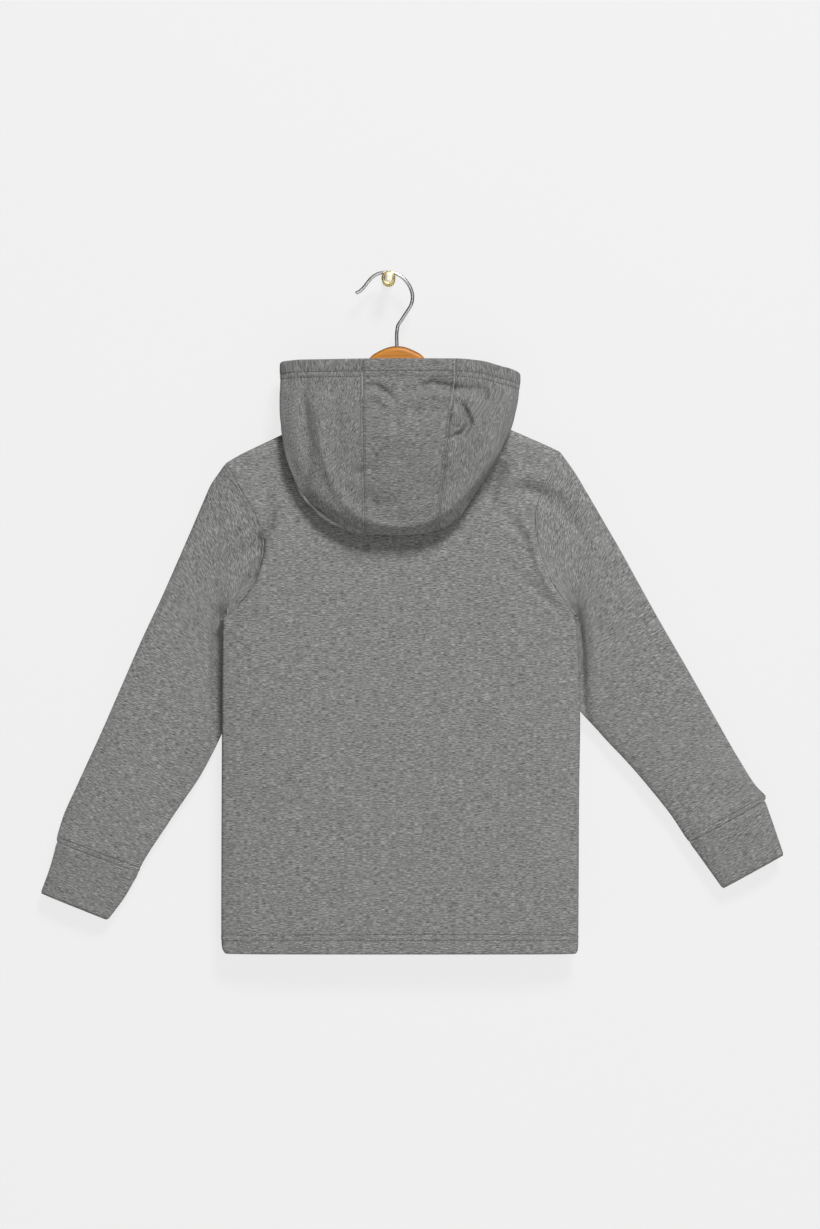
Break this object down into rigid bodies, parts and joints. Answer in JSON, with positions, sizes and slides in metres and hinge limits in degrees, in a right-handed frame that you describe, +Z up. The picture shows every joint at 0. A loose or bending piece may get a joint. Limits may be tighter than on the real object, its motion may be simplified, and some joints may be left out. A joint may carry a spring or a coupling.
{
  "type": "toddler hoodie on a hanger",
  "caption": "Child's plain hooded jersey top with long sleeves, hung by its shoulders on a wooden hanger whose wire hook rests on a brass wall peg.",
  "frame": {"origin": "centre of the peg's flat wall face, where the whole part is held", "axes": "+Z up; +Y into the wall, so that the garment's back faces -Y; +X to the right as seen from -Y"},
  "size_m": [0.6705, 0.0525, 0.6152],
  "materials": {
    "back_panel": "matte grey marl jersey",
    "front_panel": "matte grey marl jersey",
    "sleeve_left": "matte grey marl jersey",
    "sleeve_right": "matte grey marl jersey",
    "cuff_left": "matte grey marl jersey",
    "cuff_right": "matte grey marl jersey",
    "hood_centre": "matte grey marl jersey",
    "hood_left": "matte grey marl jersey",
    "hood_right": "matte grey marl jersey",
    "hanger_wood": "varnished",
    "hanger_hook": "polished",
    "wall_peg": "polished"
  },
  "bodies": {
    "root": {"back_panel": "back_panel", "front_panel": "front_panel", "sleeve_left": "sleeve_left", "sleeve_right": "sleeve_right", "cuff_left": "cuff_left", "cuff_right": "cuff_right", "hood_centre": "hood_centre", "hood_left": "hood_left", "hood_right": "hood_right", "hanger_wood": "hanger_wood", "hanger_hook": "hanger_hook", "wall_peg": "wall_peg"}
  },
  "joints": []
}
